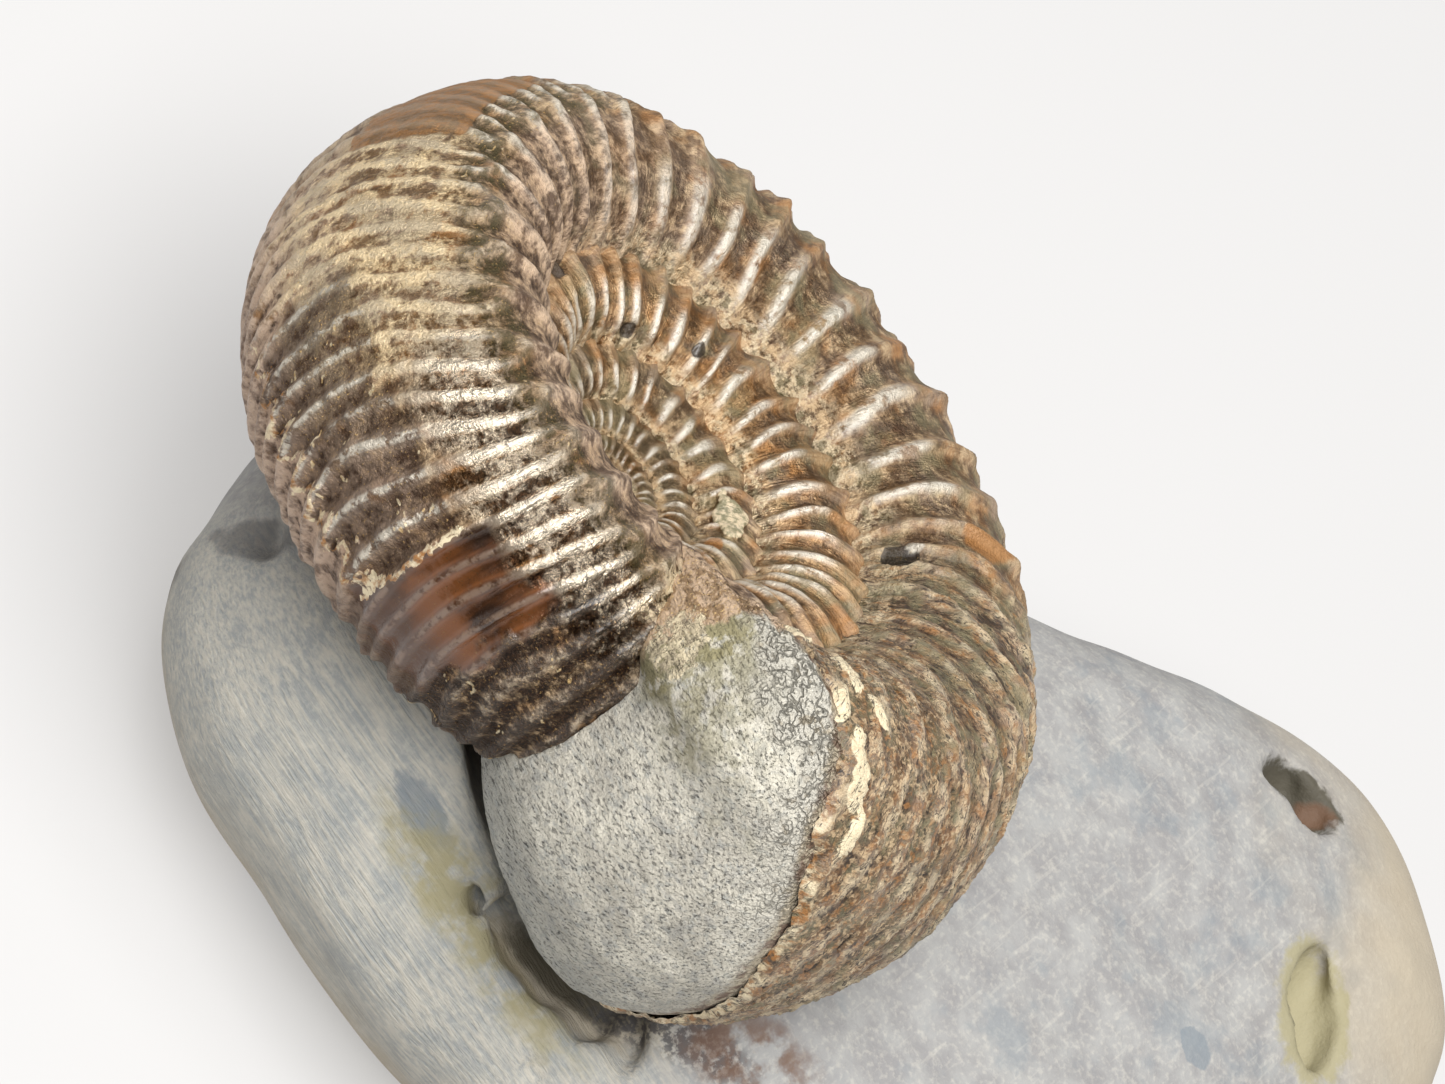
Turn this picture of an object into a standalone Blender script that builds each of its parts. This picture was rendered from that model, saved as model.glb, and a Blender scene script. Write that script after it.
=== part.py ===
"""Fossil ammonite standing proud of its mudstone nodule, lying on the nodule's flat underside.

Units are metres, +Z is up. Bearings on the coil run clockwise seen from its open side.
"""

import math

import bmesh
import bpy
from mathutils import Vector

# Driving dimensions

MM = 0.001
APERTURE_RADIUS = 31.4 * MM
GROWTH_PER_TURN = 1.64
TURNS = 4
RIBS_PER_TURN = 36
APERTURE_BEARING = math.radians(130)
COIL_TILT = math.radians(26)
COIL_CENTRE = Vector((-19.48, -11.64, 26.0)) * MM

# Whorl section, in shares of the radius out to the venter
SECTION_CENTRE = 0.731
OUTER_HALF_HEIGHT = 0.269
INNER_HALF_HEIGHT = 0.292
HALF_WIDTH = 0.404
OUTER_POWER = 1.9
INNER_POWER = 2.27
SHOULDER = math.radians(76.2)

# Relief, in shares of the same radius
PRIMARY_RIB = 0.018
SECONDARY_RIB = 0.012
TUBERCLE = 0.010

STEPS_PER_RIB = 4
FINE_STEPS = RIBS_PER_TURN * STEPS_PER_RIB
WALL_STRIDE = 2
VENTER_LINES = [math.radians(a) for a in (-58, -38, -19, 0, 19, 38, 58)]
OPEN_SIDE_LINES = [math.radians(a) for a in (93, 113, 131)]
BURIED_SIDE_LINES = [math.radians(a) for a in (-110,)]
APEX_HEIGHT = 0.6 * MM

# Mudstone fill of the body chamber, past the shell's broken edge
FILL_SWEEP = math.radians(26)
FILL_REACH_START = math.radians(140)
FILL_REACH_END = math.radians(72)
FILL_SLICES = 9
FILL_POINTS = 18
TOUCHING_GAP = 0.35 * MM

# Nodule, its outline at mid-height taken from the coil's centre
NODULE_OUTLINE = [
    (-12.5, -4), (-10.5, -13), (-4, -19.5), (8, -21), (22, -20.5), (37, -17), (50, -8), (59, 6),
    (62.5, 21), (60.5, 35), (54, 43), (44, 45.5), (33.5, 41), (23.5, 31.5), (13, 25), (2, 22), (-7, 17), (-12.5, 7),
]
NODULE_SIDES = 48
NODULE_RINGS = 22
MID_HEIGHT = 11.0 * MM
TOP_RISE = 8.5 * MM
UNDER_DROP = 16.0 * MM
FRONT_RISE = 9.5 * MM
FRONT_CENTRE = Vector((0.0, -9.0)) * MM
FRONT_SPREAD = Vector((17.0, 9.0)) * MM
SOCKET_CLEARANCE = 1.3 * MM

# Hollows in the nodule: name, middle from the coil's centre, half sizes, turn about Z
HOLLOWS = [
    ("long_pit", (39.7, 36.8, -7.0), (3.4, 1.7, 3.2), 25),
    ("oval_pit", (49.8, 27.6, -6.5), (4.0, 2.8, 2.4), -41),
    ("undercut", (21.0, -15.0, -9.0), (8.0, 3.6, 3.4), 8),
]

COLOURS = {
    "ammonite_shell": ((0.150, 0.088, 0.045), 0.32, 0.25),
    "chamber_fill": ((0.300, 0.285, 0.250), 0.85, 0.0),
    "nodule": ((0.255, 0.262, 0.258), 0.80, 0.0),
}


def clear_scene():
    for obj in list(bpy.data.objects):
        bpy.data.objects.remove(obj, do_unlink=True)


def new_collection(name, helper=False):
    collection = bpy.data.collections.new(name)
    bpy.context.scene.collection.children.link(collection)
    collection.hide_render = helper
    return collection


def add_object(name, mesh_maker, collection):
    mesh = bpy.data.meshes.new(name)
    bm = bmesh.new()
    mesh_maker(bm)
    bmesh.ops.recalc_face_normals(bm, faces=bm.faces)
    bm.to_mesh(mesh)
    bm.free()
    obj = bpy.data.objects.new(name, mesh)
    collection.objects.link(obj)
    return obj


def add_cutter(name, mesh_maker, collection):
    cutter = add_object(name, mesh_maker, collection)
    cutter.hide_render = True
    cutter.display_type = "WIRE"
    return cutter


def add_material(obj):
    colour, roughness, metallic = COLOURS[obj.name]
    material = bpy.data.materials.new(obj.name)
    material.use_nodes = True
    shader = material.node_tree.nodes["Principled BSDF"]
    shader.inputs["Base Color"].default_value = (*colour, 1)
    shader.inputs["Roughness"].default_value = roughness
    shader.inputs["Metallic"].default_value = metallic
    obj.data.materials.append(material)


def cut(obj, cutter):
    modifier = obj.modifiers.new(cutter.name, "BOOLEAN")
    modifier.operation = "DIFFERENCE"
    modifier.solver = "EXACT"
    modifier.object = cutter


def place_on_coil(obj):
    obj.location = COIL_CENTRE
    obj.rotation_euler = (-COIL_TILT, 0, 0)


# The coil

def venter_radius(bearing):
    return APERTURE_RADIUS * GROWTH_PER_TURN ** ((bearing - APERTURE_BEARING) / math.tau)


def section(around):
    """Distance from the axis and height on it, in shares of the venter radius; 0 is the venter."""
    outer = math.cos(around) >= 0
    power = 2 / (OUTER_POWER if outer else INNER_POWER)
    reach = OUTER_HALF_HEIGHT if outer else INNER_HALF_HEIGHT
    out = math.copysign(abs(math.cos(around)) ** power, math.cos(around))
    side = math.copysign(abs(math.sin(around)) ** power, math.sin(around))
    return SECTION_CENTRE + reach * out, HALF_WIDTH * side


def relief(bearing, around):
    """Ribs: one on each wall, forking at the shoulder into two that cross the venter."""
    phase = (bearing - APERTURE_BEARING) * RIBS_PER_TURN
    wall = 0.5 + 0.5 * math.cos(phase)
    forked = 0.5 - 0.5 * math.cos(2 * phase)
    past_shoulder = (abs(around) - SHOULDER) / math.radians(70)
    if past_shoulder < -0.1:
        knob = max(0.0, 1 + past_shoulder * 3.5)
        return SECONDARY_RIB * forked + TUBERCLE * wall * knob
    fade = 1 - max(0.0, past_shoulder) ** 2
    knob = max(0.0, 1 - abs(past_shoulder) * 4)
    return (PRIMARY_RIB * fade + TUBERCLE * knob) * wall


def coil_point(bearing, around, swell=0.0, ribbed=True):
    radius = venter_radius(bearing)
    out, side = section(around)
    rise = relief(bearing, around) * radius if ribbed else 0.0
    rise += swell
    from_axis = out * radius + rise * math.cos(around)
    height = side * radius + rise * math.sin(around)
    return Vector((from_axis * math.sin(bearing), from_axis * math.cos(bearing), height))


def fine_bearing(step):
    return APERTURE_BEARING - (TURNS * FINE_STEPS - step) * math.tau / FINE_STEPS


def loft(bm, first, second):
    """Faces between two rows of points, the second with as many points or half as many."""
    if len(first) == len(second):
        for a, b, c, d in zip(first, first[1:], second[1:], second):
            bm.faces.new((a, b, c, d))
        return
    for i, (near, far) in enumerate(zip(second, second[1:])):
        start, middle, end = first[2 * i:2 * i + 3]
        bm.faces.new((start, middle, near))
        bm.faces.new((middle, far, near))
        bm.faces.new((middle, end, far))


def shell_mesh(bm):
    """A spiral band on each side, each inner edge shared with the band one turn further in."""
    last = TURNS * FINE_STEPS
    whole = range(0, last + 1, WALL_STRIDE)
    turn = FINE_STEPS // WALL_STRIDE
    last_turn = range(last - FINE_STEPS, last + 1)
    sides = {}
    for sign, lines in ((1, OPEN_SIDE_LINES), (-1, BURIED_SIDE_LINES)):
        inner = [bm.verts.new(coil_point(fine_bearing(s - FINE_STEPS), sign * SHOULDER)) for s in whole]
        shoulder = [bm.verts.new(coil_point(fine_bearing(s), sign * SHOULDER)) for s in last_turn[1:]]
        shoulder.insert(0, inner[-1])
        rows = [[bm.verts.new(coil_point(fine_bearing(s), line)) for s in whole] for line in lines]
        rows.append(inner)
        # Inner turns start from the seam of the whorl over them
        covered = [inner[turn:]] + [row[:len(whole) - turn] for row in rows]
        for first, second in zip(covered, covered[1:]):
            loft(bm, first, second)
        free = [shoulder] + [row[-turn - 1:] for row in rows]
        for first, second in zip(free, free[1:]):
            loft(bm, first, second)
        # The innermost whorl closes on a small dome
        apex = bm.verts.new((0, 0, sign * APEX_HEIGHT))
        rim = inner[:turn + 1] + [row[0] for row in rows[:-1]]
        for a, b in zip(rim, rim[1:] + rim[:1]):
            bm.faces.new((a, b, apex))
        sides[sign] = shoulder, rows
    venter = [[bm.verts.new(coil_point(fine_bearing(s), line)) for s in last_turn] for line in VENTER_LINES]
    across = [sides[-1][0]] + venter + [sides[1][0]]
    for first, second in zip(across, across[1:]):
        loft(bm, first, second)
    # The broken end is a flat crescent round the whorl before it
    mouth = [row[-1] for row in reversed(sides[-1][1])] + [row[-1] for row in across]
    mouth += [row[-1] for row in sides[1][1]] + [row[0] for row in reversed(venter)]
    bm.faces.new(mouth)
    bmesh.ops.triangulate(bm, faces=bm.faces, ngon_method="EAR_CLIP")


# The fill

def fill_size(share):
    """Section of the fill against the whole whorl: full at the shell's edge, then sloping down."""
    return 1 - 0.36 * share ** 1.6


def fill_mesh(bm):
    start = APERTURE_BEARING
    forward = Vector((math.cos(start), -math.sin(start), 0))
    rings = []
    for i in range(FILL_SLICES):
        share = i / (FILL_SLICES - 1)
        bearing = start + FILL_SWEEP * share
        shift = forward * TOUCHING_GAP * (1 - share)
        reach = FILL_REACH_START + (FILL_REACH_END - FILL_REACH_START) * share
        core = SECTION_CENTRE / GROWTH_PER_TURN * venter_radius(bearing)
        ring = [bm.verts.new(Vector((core * math.sin(bearing), core * math.cos(bearing), 0)) + shift)]
        for j in range(FILL_POINTS):
            around = reach * (2 * j / (FILL_POINTS - 1) - 1)
            point = coil_point(bearing, around, ribbed=False) * fill_size(share)
            ring.append(bm.verts.new(point + shift))
        rings.append(ring)
    for first, second in zip(rings, rings[1:]):
        loft(bm, first + first[:1], second + second[:1])
    bm.faces.new(rings[0])
    bm.faces.new(rings[-1])
    bmesh.ops.triangulate(bm, faces=bm.faces)


def inner_whorl_mesh(bm, swell):
    """The ribbed whorl that the fill lies on, a little larger, from before the fill to past it."""
    first_step = (TURNS - 1) * FINE_STEPS - 6
    last_step = (TURNS - 1) * FINE_STEPS + round(FINE_STEPS * (FILL_SWEEP / math.tau)) + 8
    lines = BURIED_SIDE_LINES + [-SHOULDER] + VENTER_LINES + [SHOULDER] + OPEN_SIDE_LINES + [math.pi]
    rings = []
    for step in range(first_step, last_step + 1):
        bearing = fine_bearing(step)
        rings.append([bm.verts.new(coil_point(bearing, line, swell)) for line in lines])
    for first, second in zip(rings, rings[1:]):
        loft(bm, first + first[:1], second + second[:1])
    bm.faces.new(rings[0])
    bm.faces.new(rings[-1])
    bmesh.ops.triangulate(bm, faces=bm.faces)


def coil_envelope(bm, swell):
    """Smooth body that holds the last turn and the fill, with both hollows filled."""
    steps = 60
    lines = [math.radians(a) for a in range(-100, 101, 20)]
    poles = [bm.verts.new((0, 0, sign * (0.30 * venter_radius(0) + swell))) for sign in (-1, 1)]
    rings = []
    for i in range(steps):
        bearing = APERTURE_BEARING + FILL_SWEEP - math.tau * i / steps
        share = max(0.0, (bearing - APERTURE_BEARING) / FILL_SWEEP)
        size = fill_size(share)
        rings.append([bm.verts.new(coil_point(bearing, a, swell, ribbed=False) * size) for a in lines])
    for first, second in zip(rings, rings[1:] + rings[:1]):
        loft(bm, first, second)
        bm.faces.new((first[0], second[0], poles[0]))
        bm.faces.new((first[-1], second[-1], poles[1]))
    bmesh.ops.triangulate(bm, faces=bm.faces)


# The nodule

def closed_curve(points, share):
    """Smooth closed curve through the points, as a Catmull-Rom spline."""
    count = len(points)
    place = share * count
    i = int(place) % count
    t = place - int(place)
    p0, p1, p2, p3 = (Vector(points[(i + k) % count]) for k in (-1, 0, 1, 2))
    bend = p0 * -1 + p1 * 3 - p2 * 3 + p3
    return (p1 * 2 + (p2 - p0) * t + (p0 * 2 - p1 * 5 + p2 * 4 - p3) * t ** 2 + bend * t ** 3) / 2


def nodule_mesh(bm):
    outline = [closed_curve(NODULE_OUTLINE, i / NODULE_SIDES) * MM for i in range(NODULE_SIDES)]
    centre = sum(outline, Vector((0, 0))) / NODULE_SIDES

    def top_shift(x, y):
        dx = (x - FRONT_CENTRE.x) / FRONT_SPREAD.x
        dy = (y - FRONT_CENTRE.y) / FRONT_SPREAD.y
        return FRONT_RISE * math.exp(-dx * dx - dy * dy)

    rings = []
    for k in range(1, NODULE_RINGS):
        lift = math.pi * (k / NODULE_RINGS - 0.5)
        reach = math.cos(lift) ** 0.62
        rise = math.sin(lift)
        ring = []
        for edge in outline:
            x, y = centre + (edge - centre) * reach
            z = MID_HEIGHT + rise * (TOP_RISE if rise > 0 else UNDER_DROP)
            z += max(0.0, rise) * top_shift(x, y)
            ring.append(bm.verts.new((x + COIL_CENTRE.x, y + COIL_CENTRE.y, z)))
        rings.append(ring)
    for first, second in zip(rings, rings[1:]):
        loft(bm, first + first[:1], second + second[:1])
    for ring, z in ((rings[0], MID_HEIGHT - UNDER_DROP), (rings[-1], MID_HEIGHT + TOP_RISE)):
        if ring is rings[-1]:
            z += top_shift(*centre)
        pole = bm.verts.new((centre.x + COIL_CENTRE.x, centre.y + COIL_CENTRE.y, z))
        for a, b in zip(ring, ring[1:] + ring[:1]):
            bm.faces.new((a, b, pole))
    # Ground flat underneath
    whole = bm.verts[:] + bm.edges[:] + bm.faces[:]
    cutting = bmesh.ops.bisect_plane(bm, geom=whole, plane_co=(0, 0, 0), plane_no=(0, 0, -1), clear_outer=True)
    rim = [e for e in cutting["geom_cut"] if isinstance(e, bmesh.types.BMEdge)]
    bmesh.ops.contextual_create(bm, geom=rim)
    bmesh.ops.triangulate(bm, faces=bm.faces)


def hollow_mesh(bm, half_sizes):
    bmesh.ops.create_uvsphere(bm, u_segments=14, v_segments=8, radius=1)
    bmesh.ops.scale(bm, vec=Vector(half_sizes) * MM, verts=bm.verts)


def build():
    clear_scene()
    parts = new_collection("fossil_catacoeloceras_ammonite")
    cutters = new_collection("cutters", helper=True)

    shell = add_object("ammonite_shell", shell_mesh, parts)
    place_on_coil(shell)

    fill = add_object("chamber_fill", fill_mesh, parts)
    place_on_coil(fill)
    under_fill = add_cutter("under_fill", lambda bm: inner_whorl_mesh(bm, TOUCHING_GAP), cutters)
    place_on_coil(under_fill)
    cut(fill, under_fill)

    nodule = add_object("nodule", nodule_mesh, parts)
    socket = add_cutter("socket", lambda bm: coil_envelope(bm, SOCKET_CLEARANCE), cutters)
    place_on_coil(socket)
    cut(nodule, socket)
    for name, middle, half_sizes, turn in HOLLOWS:
        hollow = add_cutter(name, lambda bm: hollow_mesh(bm, half_sizes), cutters)
        hollow.location = COIL_CENTRE + Vector(middle) * MM
        hollow.rotation_euler.z = math.radians(turn)
        cut(nodule, hollow)

    for obj in (shell, fill, nodule):
        add_material(obj)


build()
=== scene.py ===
import math

import bmesh
import bpy
import numpy as np
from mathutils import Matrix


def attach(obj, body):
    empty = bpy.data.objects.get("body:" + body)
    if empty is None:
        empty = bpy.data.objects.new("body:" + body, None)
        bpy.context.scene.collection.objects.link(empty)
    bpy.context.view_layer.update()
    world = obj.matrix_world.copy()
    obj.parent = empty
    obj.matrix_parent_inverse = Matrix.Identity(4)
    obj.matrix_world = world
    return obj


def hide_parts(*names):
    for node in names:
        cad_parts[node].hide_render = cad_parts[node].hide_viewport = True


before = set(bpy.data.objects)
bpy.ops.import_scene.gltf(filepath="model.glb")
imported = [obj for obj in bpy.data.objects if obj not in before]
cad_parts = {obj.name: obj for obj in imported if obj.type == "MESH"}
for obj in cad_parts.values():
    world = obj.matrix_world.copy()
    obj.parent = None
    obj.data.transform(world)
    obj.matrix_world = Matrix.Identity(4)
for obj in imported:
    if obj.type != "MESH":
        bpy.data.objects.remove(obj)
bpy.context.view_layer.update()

import openvdb
from mathutils import Matrix, Vector

# Ribbed fossil shell with its broken chamber full of stone, held in a ground mudstone nodule.
# Lengths in the dictionaries are millimetres and angles are degrees.

mm = 0.001
degree = math.pi / 180

coil = {
    "mouthRadius": 31.4,  # out to the venter at the broken end
    "mouthBearing": 130.0,
    "growth": 1.64,  # times larger each turn
    "ribsPerTurn": 36,
    "tilt": 26.0,
    "centre": (-19.48, -11.64, 26.0),
    "sectionCentre": 0.731,  # the whorl section, in shares of the venter radius
    "outerReach": 0.269,
    "innerReach": 0.292,
    "halfWidth": 0.404,
    "outerPower": 1.9,
    "innerPower": 2.27,
}


# Nodes written as sums


class Wire:
    # one node socket that takes part in Python sums
    def __init__(self, graph, socket):
        self.graph = graph
        self.socket = socket

    def other(self, name):  # another output of the same node
        return Wire(self.graph, self.socket.node.outputs[name])

    def __add__(self, value):
        return self.graph.math("ADD", self, value)

    __radd__ = __add__

    def __sub__(self, value):
        return self.graph.math("SUBTRACT", self, value)

    def __rsub__(self, value):
        return self.graph.math("SUBTRACT", value, self)

    def __mul__(self, value):
        return self.graph.math("MULTIPLY", self, value)

    __rmul__ = __mul__

    def __truediv__(self, value):
        return self.graph.math("DIVIDE", self, value)

    def __rtruediv__(self, value):
        return self.graph.math("DIVIDE", value, self)

    def __pow__(self, value):
        return self.graph.math("POWER", self, value)

    def __rpow__(self, value):
        return self.graph.math("POWER", value, self)

    def __gt__(self, value):
        return self.graph.math("GREATER_THAN", self, value)

    def __abs__(self):
        return self.graph.math("ABSOLUTE", self)


class Graph:
    # a node tree, for shaders and for Geometry Nodes alike
    def __init__(self, tree):
        self.tree = tree

    def node(self, kind, settings=None, values=None, out=0):
        made = self.tree.nodes.new(kind)
        for name, value in (settings or {}).items():
            if name == "bends":
                self.setBends(made.mapping, value)
            else:
                setattr(made, name, value)
        for key, value in (values or {}).items():
            if isinstance(value, Wire):
                self.tree.links.new(value.socket, made.inputs[key])
            else:
                made.inputs[key].default_value = value
        return Wire(self, made.outputs[out])

    def setBends(self, mapping, bends):
        points = mapping.curves[0].points
        while len(points) < len(bends):
            points.new(0.5, 0.5)
        for point, place in zip(points, sorted(bends)):
            point.location = place
        mapping.update()

    def math(self, operation, *values):
        return self.node("ShaderNodeMath", {"operation": operation}, dict(enumerate(values)))

    def vector(self, operation, *values, out=0):
        return self.node("ShaderNodeVectorMath", {"operation": operation}, dict(enumerate(values)), out)

    def combine(self, x, y, z):
        return self.node("ShaderNodeCombineXYZ", values={0: x, 1: y, 2: z})

    def split(self, vector):
        x = self.node("ShaderNodeSeparateXYZ", values={0: vector})
        return x, x.other("Y"), x.other("Z")

    def rise(self, value, low, high):  # 0 below low, 1 above high, smooth between
        values = {0: value, 1: low, 2: high}
        return self.node("ShaderNodeMapRange", {"interpolation_type": "SMOOTHSTEP"}, values)

    def band(self, value, low, high, soft):
        return self.rise(value, low - soft, low + soft) * self.rise(value, high + soft, high - soft)

    def noise(self, place, scale, detail=2.0, rough=0.5, seed=0.0):
        if seed:
            place = self.vector("ADD", place, (seed, seed * 1.7, -seed))
        values = {"Vector": place, "Scale": scale, "Detail": detail, "Roughness": rough}
        return self.node("ShaderNodeTexNoise", values=values)

    def cells(self, place, scale, feature="F1", random=1.0):
        values = {"Vector": place, "Scale": scale, "Randomness": random}
        return self.node("ShaderNodeTexVoronoi", {"feature": feature}, values)

    def tint(self, share, first, second, blend="MIX"):  # two colours mixed
        settings = {"data_type": "RGBA", "blend_type": blend, "clamp_factor": True}
        return self.node("ShaderNodeMix", settings, {0: share, 6: first, 7: second}, 2)

    def curve(self, value, low, high, bottom, top, bends):
        # a curve of value through listed bends, from low to high, that gives numbers from bottom to top
        places = [((x - low) / (high - low), (y - bottom) / (top - bottom)) for x, y in bends]
        share = self.node("ShaderNodeFloatCurve", {"bends": places}, {1: (value - low) / (high - low)})
        return share * (top - bottom) + bottom


def paint(red, green, blue):
    # a given screen colour as a shader colour
    linear = [(c / 255 / 12.92) if c <= 10 else ((c / 255 + 0.055) / 1.055) ** 2.4 for c in (red, green, blue)]
    return (*linear, 1.0)


class Layers:
    # a colour that others are laid over, each by its share
    def __init__(self, graph, colour):
        self.graph = graph
        self.colour = colour

    def add(self, share, colour):
        self.colour = self.graph.tint(share, self.colour, colour)


def weighed(f, base, **weights):
    # base with each named zone added by its weight
    for zone, weight in weights.items():
        base = base + f[zone] * weight
    return base


def newMaterial(name):
    material = bpy.data.materials.new(name)
    material.use_nodes = True
    graph = Graph(material.node_tree)
    return material, graph, material.node_tree.nodes["Principled BSDF"]


def plug(graph, shader, **values):
    for name, value in values.items():
        socket = shader.inputs[name.replace("_", " ")]
        if isinstance(value, Wire):
            graph.tree.links.new(value.socket, socket)
        else:
            socket.default_value = value


def bumped(graph, height):  # height in millimetres
    return graph.node("ShaderNodeBump", values={"Strength": 1.0, "Distance": mm, "Height": height})


# The coil's rule, shared by the shell, the stone fill and the shell's colours


def venterRadius(bearing):
    return coil["mouthRadius"] * coil["growth"] ** ((bearing - coil["mouthBearing"]) / 360)


def bearingOf(graph, radius):
    share = radius / coil["mouthRadius"]
    return graph.math("LOGARITHM", share, coil["growth"]) * 360 + coil["mouthBearing"]


def sectionOf(graph, around):
    # distance from the axis and height on it, in shares of the venter radius
    c = graph.math("COSINE", around * degree)
    s = graph.math("SINE", around * degree)
    outer = c > 0
    power = outer * (2 / coil["outerPower"] - 2 / coil["innerPower"]) + 2 / coil["innerPower"]
    reach = outer * (coil["outerReach"] - coil["innerReach"]) + coil["innerReach"]
    out = graph.math("SIGN", c) * abs(c) ** power
    side = graph.math("SIGN", s) * abs(s) ** power
    return out * reach + coil["sectionCentre"], side * coil["halfWidth"], c, s


def onAxis(graph, bearing, out, height):
    turn = bearing * degree
    return graph.combine(out * graph.math("SINE", turn), out * graph.math("COSINE", turn), height)


def leanOver(graph, spot):
    # from the coil's own axes, in mm, to the shelf's, in metres
    x, y, z = graph.split(spot)
    cx, cy, cz = coil["centre"]
    c, s = math.cos(coil["tilt"] * degree), math.sin(coil["tilt"] * degree)
    return graph.combine((x + cx) * mm, (y * c + z * s + cy) * mm, (z * c - y * s + cz) * mm)


# around the section, and the bearing there
brokenEdge = [
    (-150, 120), (-60, 119), (-30, 120), (-15, 122), (0, 125), (25, 129), (45, 133.5), (65, 135),
    (88, 137), (100, 140), (120, 142), (150, 143),
]
nearEdge = [(-150, -208), (-40, -210), (30, -210), (45, -206), (75, -205), (100, -205), (150, -205)]


def shellEdge(graph, around):  # bearing at which the shell is broken off
    return graph.curve(around, -150, 150, 110, 150, brokenEdge)


def fillEnd(graph, around):  # bearing at which the stone dips under the near whorl's shell
    return graph.curve(around, -150, 150, -240, -200, nearEdge)


skin = {
    "flankRib": 0.021,  # shares of the venter radius
    "venterRib": 0.018,
    "knob": 0.012,
    "lumps": 0.42,  # mm from here on
    "pocks": 0.32,
    "grain": 0.06,
    "chip": 0.09,
    "peelDepth": 0.14,
    "edgeThickness": 0.55,
    # around the section, and the degrees by which the ribs lean there
    "ribLean": [(0, 5), (20, 4.4), (45, 2), (64, 0), (85, -0.6), (110, -1.2), (130, 0.5), (150, 2.5)],
    # kinds of surface: bearing from, to and softness, then the same around the section
    "areas": {
        "amber": ((-191, -172.5, 1.2), (-42, 30, 5)),
        "scorched": ((-214, -190.5, 1.5), (-75, 46, 7)),
        "foil": ((-207, -146, 9), (29, 66, 8)),
        "goldCrust": ((-150, -98, 11), (-14, 62, 12)),
        "ledge": ((-214, -60, 10), (62, 82, 5)),
    },
    # cream scraps of inner shell by the broken edge: bearing, around, half sizes, lean
    "scraps": [
        (139, 119, 1.6, 6, 0.0), (134.5, 127, 1.4, 6, 0.1), (131.5, 104, 1.8, 8, 0.06),
        (136.2, 88, 1.9, 7, -0.12), (133.0, 77, 1.2, 6, 0.05), (131.4, 64, 1.5, 9, 0.05),
        (127.5, 92, 1.0, 6, 0.1), (129.5, 50, 1.0, 7, 0.0),
    ],
    # stone, rust, pits painted dark as their shade and one painted glint, in the middle: bearing, around, half sizes,
    # finish
    "marks": [
        (-660, 114, 16, 16, "matrix"), (-628, 122, 5, 8, "orange"), (-451, 82, 4, 9, "dark"),
        (-411, 133, 4, 6, "dark"), (-379, 118, 2.5, 6, "dark"), (119.2, 10, 0.35, 4, "dark"),
        (118.4, 20, 0.3, 3, "dark"), (122.4, 1, 0.3, 4, "dark"), (59, 131, 3.5, 6, "dark"),
        (56, 126, 1.2, 3, "silver"), (50, 94, 3.5, 12, "orange"),
    ],
}


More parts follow.
